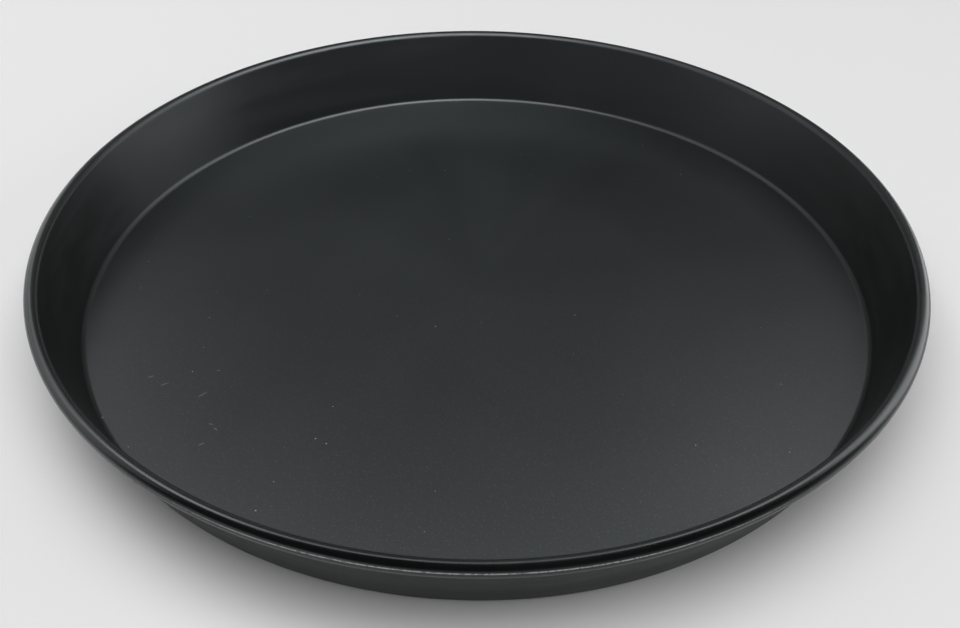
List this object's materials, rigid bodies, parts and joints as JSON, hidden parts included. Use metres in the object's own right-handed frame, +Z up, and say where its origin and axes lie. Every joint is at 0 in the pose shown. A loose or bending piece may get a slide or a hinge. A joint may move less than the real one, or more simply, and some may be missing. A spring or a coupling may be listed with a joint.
{
  "type": "pizza pan",
  "caption": "Round shallow pizza pan in dark sheet steel, with a flat floor, a low sloping wall and a rim rolled round a wire.",
  "frame": {"origin": "centre of the underside, on the surface that the pan stands on", "axes": "+Z up along the pan's axis, +X and +Y across the pan; -Y is the side nearest the camera in the picture"},
  "size_m": [0.31, 0.31, 0.03],
  "materials": {
    "dark_sheet": "satin, near black, baked on over sheet steel",
    "wire": "drawn mild steel wire"
  },
  "bodies": {
    "root": {"pan_body": "dark_sheet", "rim_wire": "wire"}
  },
  "joints": []
}
